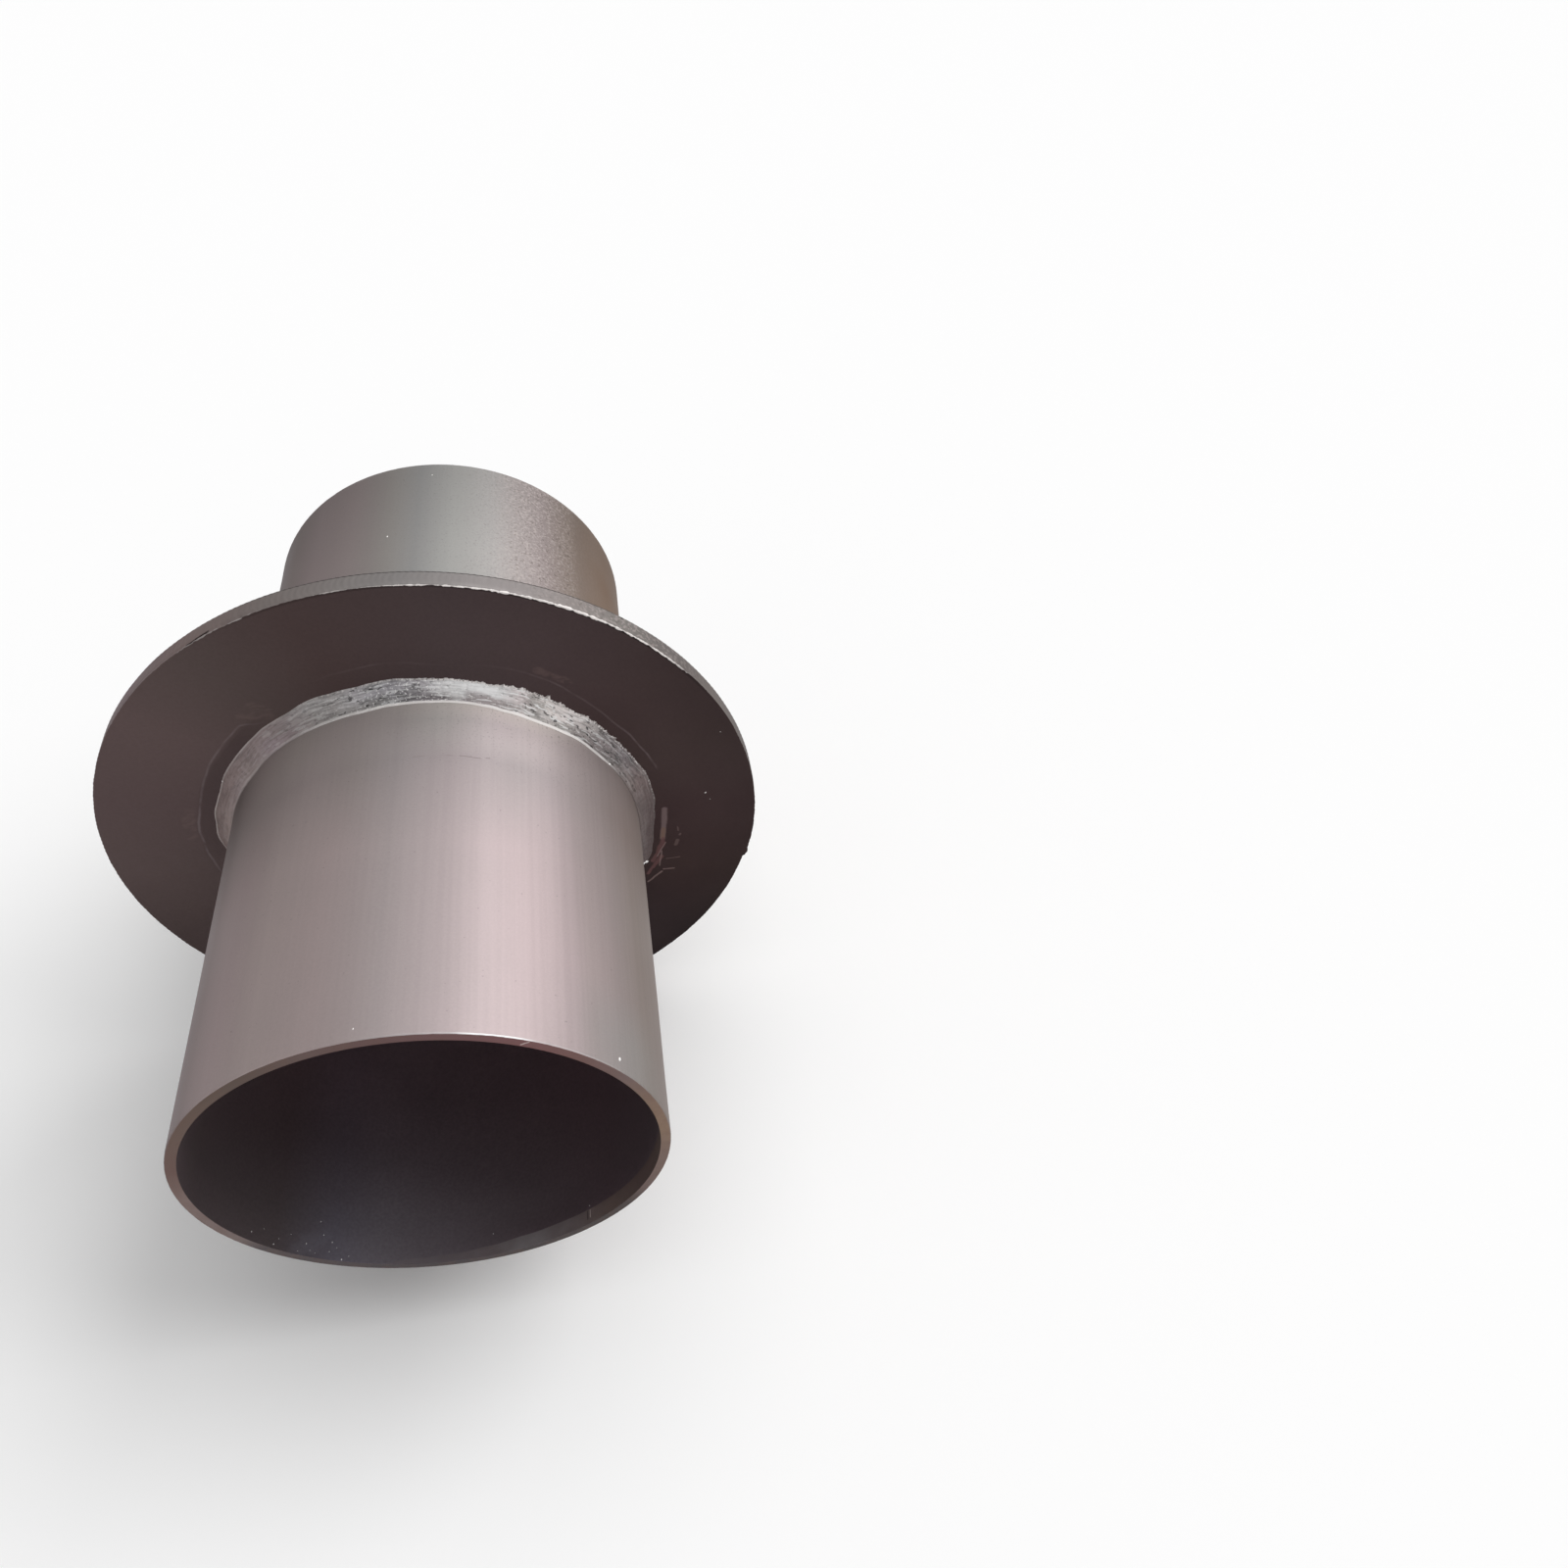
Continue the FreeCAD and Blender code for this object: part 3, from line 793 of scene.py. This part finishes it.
def rimOffset(shape, angle, y):  # how far the flame-cut edge stands inside the ring's true radius
    front = 1 - ease(y, -plateFace + 0.5, -plateFace + 2.6)
    arc = math.radians(angle) * plateRadius
    inward = 0.12 + 0.10 * grain(arc, y, 14, 6, 1)
    inward += shape["scallop"] * (0.5 + 0.5 * grain(arc, 0, 5, 1, 2)) * front
    inward += shape["dragLine"] * math.sin(math.tau * (arc + 0.12 * y * y) / 2.6)
    burr = shape["burr"] * (0.35 + 0.65 * bump(angle, 78, 55)) * max(0, grain(arc, 0, 1.6, 1, 3) + 0.15)
    inward -= burr * (1 - ease(y, -plateFace, -plateFace + 0.9))
    start, end, depth = shape["crack"]
    if start < angle < end:
        line = -plateFace + 0.15 + (end - angle) * 0.36
        window = math.sin(math.pi * (angle - start) / (end - start))
        inward += depth * window * math.exp(-((y - line) / 0.28) ** 2)
        inward -= 0.2 * window * math.exp(-((y - line - 0.65) / 0.25) ** 2)
    for depth, first, fullFrom, fullTo, last in shape["frontSteps"]:
        inward += depth * front * (ease(angle, first, fullFrom) - ease(angle, fullTo, last))
    return max(0, inward)


def makePlate(shape):
    materials = [plateMillScale(), flameCutRim(), paleGrit()]
    cutRim, grit = 1, 2  # their places in the list
    radii = [90.5, 96, 102, 108, 114, 120, 126, 132, 137, 140, 142, 143.4, 144.4, 144.9, 145.2]
    front = [(radius, -plateFace) for radius in radii]
    rows = [0.12, 0.3, 0.5, 0.7, 0.95, 1.2, 1.45, 1.7, 1.95, 2.3, 2.8, 3.4, 4.1, 4.8, 5.6, 6.4, 7.2, 7.8]
    rows.append(8.2)
    rim = [(plateRadius, -plateFace + row) for row in rows]
    rim += [(plateRadius - 0.1, plateFace - 0.4), (plateRadius - 0.4, plateFace - 0.1)]
    back = [(radius, plateFace) for radius in (144.7, 143.4, 140, 132, 120, 108, 96, 90.5)]
    mesh = spinSection(front + rim + back, shape["steps"])
    edgeLayer = mesh.verts.layers.float.new("fromFrontEdge")  # mm, counted larger across the face
    drift = shape["cutStep"] / math.sin(math.radians(shape["cutSweep"]))
    bumpAngle, bumpWidth, bumpHeight = shape["cutBump"]
    for vertex in mesh.verts:
        point = vertex.co / mm
        angle, radius = angleOf(point), math.hypot(point.x, point.z)
        vertex[edgeLayer] = 1.3 * (plateRadius - radius) + point.y + plateFace
        if radius > shape["unevenFrom"]:
            inward = rimOffset(shape, angle, point.y)
            past = (shape["cutStart"] - angle) % 360
            if past < shape["cutSweep"]:
                inward += drift * math.sin(math.radians(shape["cutSweep"] - past))
            inward -= bumpHeight * bump(angle, bumpAngle, bumpWidth)
            inward *= ease(radius, shape["unevenFrom"], 145)
            vertex.co = polar(angle, radius - inward, point.y) * mm
    for face in mesh.faces:
        centre = face.calc_center_median() / mm
        radius = math.hypot(centre.x, centre.z)
        if radius > 144 and abs(face.normal.y) < 0.75:
            face.material_index = cutRim
    for angle, radius, size in gritOnRing:
        place, outward = polar(angle, radius, -plateFace), Vector((0, -1, 0))
        addDrop(mesh, place, outward, Vector((1, 0, 0.4)), size * Vector((1, 0.7, 0.5)), grit)
    return finishPiece(mesh, "waterStopRing", materials, "plate_steel", "stop_ring")


# Weld materials

weldMiddle = 95.0  # radius of the middle of the weld's face
weldFace = 11.0  # about how wide its face is


def groundWeldMetal(name, turned):  # bright steel brushed along its run, flecked dark; its tones are painted light where the lamps fall and shade at the sides
    material, tree, shader = newMaterial(name)
    _, turn, *_ = placesRound(tree)
    across = addNode(tree, "Attribute", attribute_name="across").outputs["Fac"]
    length, width = math.tau * weldMiddle * mm, weldFace * mm
    runLength = addNode(tree, "Math", {0: turn, 1: length}, operation="MULTIPLY").outputs[0]
    runWidth = addNode(tree, "Math", {0: across, 1: width}, operation="MULTIPLY").outputs[0]
    run = addNode(tree, "CombineXYZ", {"X": runLength, "Y": runWidth}).outputs[0]

    def zones(stops):  # given for the front bead, and turned with it
        shifted = {(angle - turned + 90) % 360 - 90: value for angle, value in stops.items()}
        return byTurn(tree, turn, shifted)

    wavering = shaken(tree, run, 9, 0.5)
    cloud = patches(tree, wavering, 6, 0.38, 0.62, 3.0, (0.5, 1, 1))
    # Tones round the weld near the pipe and near the ring, painted up to white where the lamps fall and
    # darker at the sides as shade.
    nearPipeLitShaded = zones({
        172: "887775", 161: "917f7b", 145: "908080", 136: "ab9c9a", 127: "a6969a", 119: "a29495",
        112: "a9a3a1", 106: "b3aead", 100: "b4b0af", 92: "939293", 84: "888286", 75: "a8a0a2",
        68: "c0b6b7", 61: "dad2d1", 54: "ebe5e3", 47: "d0cac6", 40: "7e7474", 33: "8c8383", 25: "8f8685",
        15: "80726f", 7: "6c5f5d", 0: "6a5c5a", -14: "5a4c4b",
    })
    nearPlateLitShaded = zones({
        172: "8a7674", 161: "7e6c69", 145: "8f7c7a", 136: "998988", 127: "ab9b9b", 119: "b0a5a5",
        112: "bbb7b6", 106: "bfbab9", 100: "cdc9cd", 92: "b4b1b7", 84: "c6c1c5", 77: "ffffff",
        66: "ffffff", 61: "efe4e4", 54: "f4ece8", 47: "fef6f4", 40: "c0b8b6", 33: "8f8686", 25: "847b7d",
        15: "837270", 7: "5f4f4e", -14: "584746",
    })
    drifted = addNode(tree, "Math", {0: cloud, 1: 0.3, 2: across}, operation="MULTIPLY_ADD").outputs[0]
    colour = layOver(tree, nearPipeLitShaded, nearPlateLitShaded, inBand(tree, drifted, 0.46, 0.72))

    fibrous = zones({
        175: 0.1, 150: 0.2, 128: 0.4, 105: 0.8, 84: 0.8, 76: 0.35, 66: 0.4, 58: 0.9, 30: 0.9, 15: 0.5,
        0: 0.3,
    })
    flecked = zones({
        128: 0.2, 112: 0.4, 98: 1.0, 84: 0.7, 76: 0.15, 66: 0.2, 58: 0.9, 38: 1.0, 28: 0.9, 18: 0.7,
        8: 0.1,
    })
    bright = zones({150: 0.0, 125: 0.15, 100: 0.4, 85: 0.6, 74: 1.0, 50: 1.0, 40: 0.5, 25: 0.15, 5: 0.0})
    frosted = zones({120: 0.0, 106: 0.4, 94: 0.9, 82: 1.0, 70: 0.7, 50: 0.5, 35: 0.3, 15: 0.0})
    colour = layOver(tree, colour, "8b8583", 0.2, cloud, fibrous, blend="MULTIPLY")
    fibres = patches(tree, wavering, 0.9, 0.47, 0.58, 3.0, (0.08, 1, 1))
    colour = layOver(tree, colour, "5c5856", 0.38, fibres, fibrous, blend="MULTIPLY")
    shadowed = patches(tree, wavering, 4.0, 0.52, 0.62, 3.0, (0.4, 1, 1))
    colour = layOver(tree, colour, "80837d", 0.5, shadowed, flecked, blend="MULTIPLY")
    glints = patches(tree, wavering, 1.0, 0.55, 0.60, 3.0, (0.12, 1, 1))
    colour = layOver(tree, colour, "ffffff", 0.85, glints, bright)
    frost = patches(tree, run, 0.9, 0.60, 0.64, 2.0)
    colour = layOver(tree, colour, "fffdfc", 0.8, frost, frosted)
    flecks = patches(tree, wavering, 1.3, 0.61, 0.65, 2.0, (0.45, 1, 1))
    colour = layOver(tree, colour, "1f1c1a", 0.85, flecks, flecked)

    # Painted highlight along the ledge at the pipe toe, where its bare ridge catches the lamps.
    ledgeHighlight = zones({
        150: 0.1, 130: 0.15, 120: 0.25, 112: 0.5, 104: 0.5, 96: 0.7, 60: 1.0, 46: 1.0, 33: 0.6, 28: 0.5,
        22: 0.0,
    })
    colour = layOver(tree, colour, "fffaf7", inBand(tree, across, 0.15, 0.10, ledgeHighlight))
    # Painted shade: a dark line just inside the ring toe.
    toeShade = zones({
        178: 0.1, 130: 0.15, 120: 0.5, 108: 0.7, 100: 0.2, 92: 0.5, 80: 0.0, 44: 0.0, 36: 0.4, 15: 0.6,
        -20: 0.6,
    })
    colour = layOver(tree, colour, "3c302e", 0.8, cloud, inBand(tree, across, 0.88, 0.95, toeShade))
    border = inBand(tree, across, 0.93, 0.99)
    # The bead's pale outer border, painted brighter as a highlight.
    borderHighlight = zones({
        178: 0.5, 140: 0.35, 128: 0.3, 112: 0.25, 88: 0.35, 78: 0.8, 50: 0.9, 30: 0.35, 20: 0.2, 0: 0.0,
    })
    colour = layOver(tree, colour, "e4dcd9", 0.9, border, borderHighlight)
    hairs = patches(tree, run, 1.0, 0.50, 0.60, 2.0, (1, 0.3, 1))
    hairy = zones({118: 0.0, 106: 0.5, 90: 0.7, 70: 1.0, 30: 1.0, 20: 0.7, 8: 0.2, -5: 0.0})
    colour = layOver(tree, colour, "fffaf7", 0.9, border, hairs, hairy)
    # Painted shade in the gaps between the torn fibres at the border.
    shadedGaps = patches(tree, run, 1.1, 0.48, 0.40, 2.0, (1, 0.3, 1))
    colour = layOver(tree, colour, "2b2322", 0.8, border, shadedGaps, hairy)

    rough = addNode(tree, "MapRange", {"Value": fibres, "To Min": 0.42, "To Max": 0.58})
    surface = addNode(tree, "Bump", {"Height": fibres, "Strength": 0.5, "Distance": 0.05 * mm})
    setInputs(tree, shader, {
        "Base Color": colour,
        "Metallic": zones({150: 0.35, 120: 0.3, 84: 0.0, 46: 0.0, 30: 0.3}),
        "Roughness": rough.outputs[0],
        "Normal": surface.outputs[0],
    })
    return material


def brightSliver():  # curled bits of bare metal left by the grinding, which catch the light
    material, tree, shader = newMaterial("brightSliver")
    setInputs(tree, shader, {"Base Color": linear("fdfbf9"), "Metallic": 0.7, "Roughness": 0.3})
    return material


# Welds

weldShape = {
    "steps": 1600,
    "bodyPoints": 31,
    "apronPoints": 6,
    "apronWidth": 0.9,
    "ledgeHeight": 0.7,
    "ledgeWidth": 1.2,
    "belly": 1.1,
    "swell": 0.2,
    "ripple": 0.05,
    "scratch": 0.08,
    "pitDepth": 0.5,
    "toeWander": 0.3,
    "hair": 1.3,  # how far the torn fibres reach past the toe
    "tornPoint": 1.0,  # and how much farther the few largest ones do
    "roughMiddle": 68,  # where the bead is roughest and fullest
    "furMiddle": 50,  # where its toe is most torn
    "sliversFace": (0.40, -0.32, 0.86),
}
rearTurn = 150.0  # the rear bead's uneven places lie this far round from the front one's
weldStations = (  # angle, leg on the ring, leg on the pipe
    (0, 7.4, 6.2), (7, 8.6, 6.0), (15, 8.8, 6.0), (25, 7.9, 6.4), (33, 7.6, 7.3), (40, 8.0, 6.6),
    (47, 7.5, 7.4), (54, 8.0, 7.9), (63, 8.5, 7.2), (68, 6.9, 6.5), (75, 7.5, 6.0), (84, 7.5, 6.4),
    (92, 8.5, 6.8), (100, 7.5, 7.8), (106, 7.9, 7.5), (112, 8.8, 7.3), (119, 7.8, 7.0), (127, 8.2, 6.8),
    (132, 7.9, 7.0), (138, 7.8, 8.6), (145, 7.9, 8.0), (154, 7.3, 7.2), (161, 7.7, 6.8), (168, 7.2, 6.6),
    (177, 5.0, 6.4), (200, 8.4, 7.2), (228, 9.2, 8.0), (252, 8.0, 6.4), (280, 9.5, 7.7), (306, 8.6, 6.8),
    (332, 7.6, 6.8), (337.4, 4.8, 6.8), (339.4, 7.9, 6.8), (342, 8.2, 6.8), (346, 7.4, 6.6),
    (353, 6.7, 6.2), (360, 7.4, 6.2),
)
slivers = (  # angle, share of the way from pipe to ring, size, way that it points
    (72.6, 0.42, (2.6, 0.3, 0.3), (0.4, 0.0, -0.9)), (66.3, 0.25, (3.6, 0.3, 0.3), (0.9, 0.0, -0.4)),
    (27.6, 0.06, (1.5, 0.9, 0.5), (0.5, 0.0, -0.8)), (148.4, 1.02, (0.7, 0.6, 0.5), (0.5, 0.0, -0.8)),
    (338.2, 1.06, (3.4, 1.7, 1.2), (0.3, 0.0, 1.0)), (338.8, 0.92, (3.8, 1.7, 1.2), (1.0, 0.0, 0.3)),
)


def weldPoint(shape, angle, across, seed):  # radius and height off the ring, at a share of the way across
    angle %= 360
    legOnRing, legOnPipe = atStation(weldStations, angle)
    run = math.radians((angle + 90) % 360) * weldMiddle
    fur = bump(angle, shape["furMiddle"], 50)
    rough = 0.25 + 0.75 * bump(angle, shape["roughMiddle"], 62)
    legOnRing += shape["toeWander"] * grain(run, 0, 7, 1, seed)
    legOnPipe += 0.5 * shape["toeWander"] * grain(run, 0, 6, 1, seed + 2)
    hair = shape["hair"] * fur * max(-0.2, grain(run, 0, 1.0, 1, seed + 1))
    hair += shape["tornPoint"] * fur * ease(grain(run, 0, 1.6, 1, seed + 8), 0.22, 0.5)
    stepped = ease(angle, 24, 34) * (1 - ease(angle, 108, 124))
    rise = shape["ledgeHeight"] * (0.3 + 0.7 * stepped)
    ledgeWidth = shape["ledgeWidth"] * (0.5 + 0.5 * stepped)
    start = ledgeWidth / legOnPipe
    if across > 1:
        past = across - 1
        strands = grain(run, past * 2, 0.9, 1.4, seed + 3)
        height = 0.10 - 0.42 * past + (0.05 + 0.35 * fur) * strands * ease(past, 0, 0.3)
        return pipeRadius + legOnRing + hair + shape["apronWidth"] * past, max(height, -0.15)
    if across < start:
        lift = math.sin(math.pi / 2 * across / start)
        return pipeRadius + rise * lift, legOnPipe * (1 - across)
    share = (across - start) / (1 - start)
    outOfPipe, offRing = legOnRing - rise, legOnPipe - ledgeWidth
    slope = math.hypot(outOfPipe, offRing)
    place = share * slope
    window = min(1, 5 * share, 6 * (1 - share))
    out = shape["swell"] * grain(run, place, 11, 7, seed + 4)
    out += shape["ripple"] * math.sin(math.tau * (run + 0.06 * (place - slope / 2) ** 2) / 3.1)
    out += shape["scratch"] * rough * grain(run, place, 9, 0.8, seed + 5)
    out += 0.10 * rough * grain(run, place, 2.2, 1.2, seed + 6)
    out -= shape["pitDepth"] * rough * ease(grain(run, place, 1.6, 1.1, seed + 7), 0.32, 0.62)
    full = 0.25 + 0.75 * bump(angle, shape["roughMiddle"], 50)
    out = out * window + shape["belly"] * full * math.sin(math.pi * share)
    radius = pipeRadius + rise + outOfPipe * share + out * offRing / slope
    height = offRing * (1 - share) + 0.10 * share + out * outOfPipe / slope
    return radius + hair * ease(share, 0.85, 1), height


def makeWeld(name, node, shape, side, turned, seed, materials):
    body, apron = shape["bodyPoints"], shape["apronPoints"]
    shares = [i / (body - 1) for i in range(body)] + [1 + (i + 1) / apron for i in range(apron)]
    face = [(pipeRadius + 4 * share, -share) for share in shares]  # y holds the share until it is shaped
    mesh = spinSection(face + [(pipeRadius + 5, 1), (pipeRadius - 1, 1)], shape["steps"])
    acrossLayer = mesh.verts.layers.float.new("across")
    for vertex in mesh.verts:
        point = vertex.co / mm
        angle = angleOf(point)
        wayRound = angle + turned
        if point.y > 0.5:
            inside = math.hypot(point.x, point.z) < pipeRadius
            radius = pipeRadius + (-0.4 if inside else atStation(weldStations, wayRound % 360)[0])
            height = -0.6
            vertex[acrossLayer] = 0 if inside else 2
        else:
            vertex[acrossLayer] = -point.y
            radius, height = weldPoint(shape, wayRound, -point.y, seed)
        vertex.co = polar(angle, radius, side * (plateFace + height)) * mm
    bmesh.ops.recalc_face_normals(mesh, faces=mesh.faces)
    if side < 0:
        sliverMetal = 1  # its place in the materials
        for angle, share, size, lengthways in slivers:
            radius, height = weldPoint(shape, angle, share, seed)
            place = polar(angle, radius, -plateFace - height)
            addDrop(mesh, place, Vector(shape["sliversFace"]), Vector(lengthways), size, sliverMetal)
    return finishPiece(mesh, name, materials, "weld_metal", node)


makeCamera(cameraSetup)
makeStage(stageSetup)
makePipe(pipeShape)
makePlate(plateShape)
frontFinish = [groundWeldMetal("groundWeldMetal", 0), brightSliver()]
makeWeld("frontWeld", "front_weld_bead", weldShape, -1, 0, 1, frontFinish)
rearFinish = [groundWeldMetal("groundWeldMetalBehind", rearTurn)]
makeWeld("rearWeld", "rear_weld_bead", weldShape, 1, rearTurn, 20, rearFinish)
